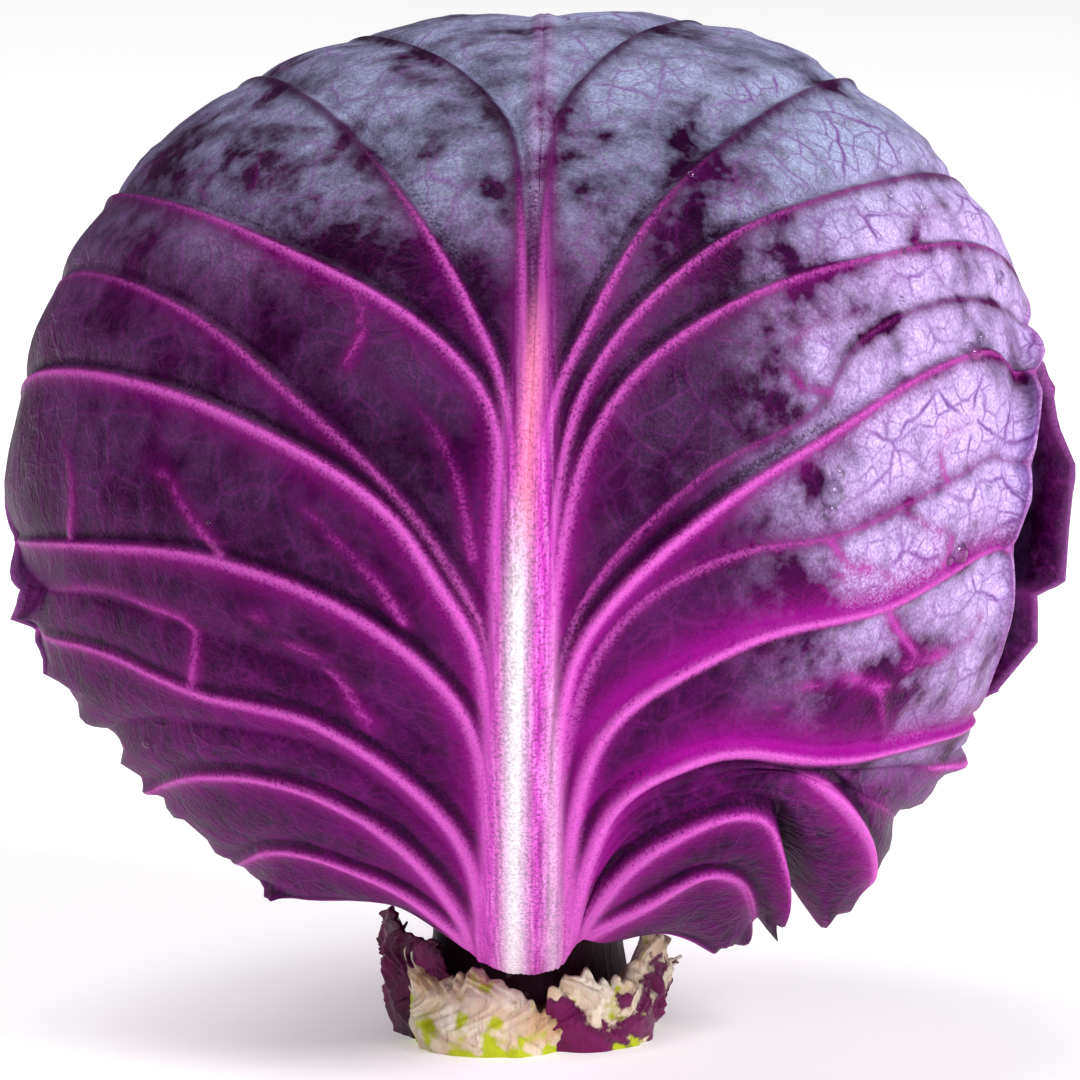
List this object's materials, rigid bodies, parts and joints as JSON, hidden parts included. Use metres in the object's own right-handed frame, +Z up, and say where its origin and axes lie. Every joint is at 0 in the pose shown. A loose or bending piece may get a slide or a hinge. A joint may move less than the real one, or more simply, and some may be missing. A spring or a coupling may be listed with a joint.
{
  "type": "cabbage head",
  "caption": "Round head of red cabbage: strongly ribbed outer leaves wrapped round a packed heart, standing on the cut end of a short stalk ringed with torn leaf stubs.",
  "frame": {"origin": "middle of the flat cut face of the stalk, on the surface that the head stands on", "axes": "+Z up through the head, the big front leaf's midrib faces -Y, +X to the right of it"},
  "size_m": [0.1816, 0.1757, 0.1745],
  "materials": {
    "outer_leaf": "waxy, half-glossy",
    "heart_leaf": "waxy, half-glossy",
    "stalk_flesh": "moist, matt",
    "torn_stub": "moist, matt"
  },
  "bodies": {
    "root": {"stalk": "stalk_flesh", "stub_front": "torn_stub", "stub_right": "torn_stub", "stub_left": "torn_stub", "stub_back": "torn_stub", "stub_rear_left": "torn_stub", "stub_rear_right": "torn_stub", "heart": "heart_leaf", "leaf_left": "outer_leaf", "leaf_right": "outer_leaf", "leaf_back": "outer_leaf", "leaf_front": "outer_leaf"}
  },
  "joints": []
}
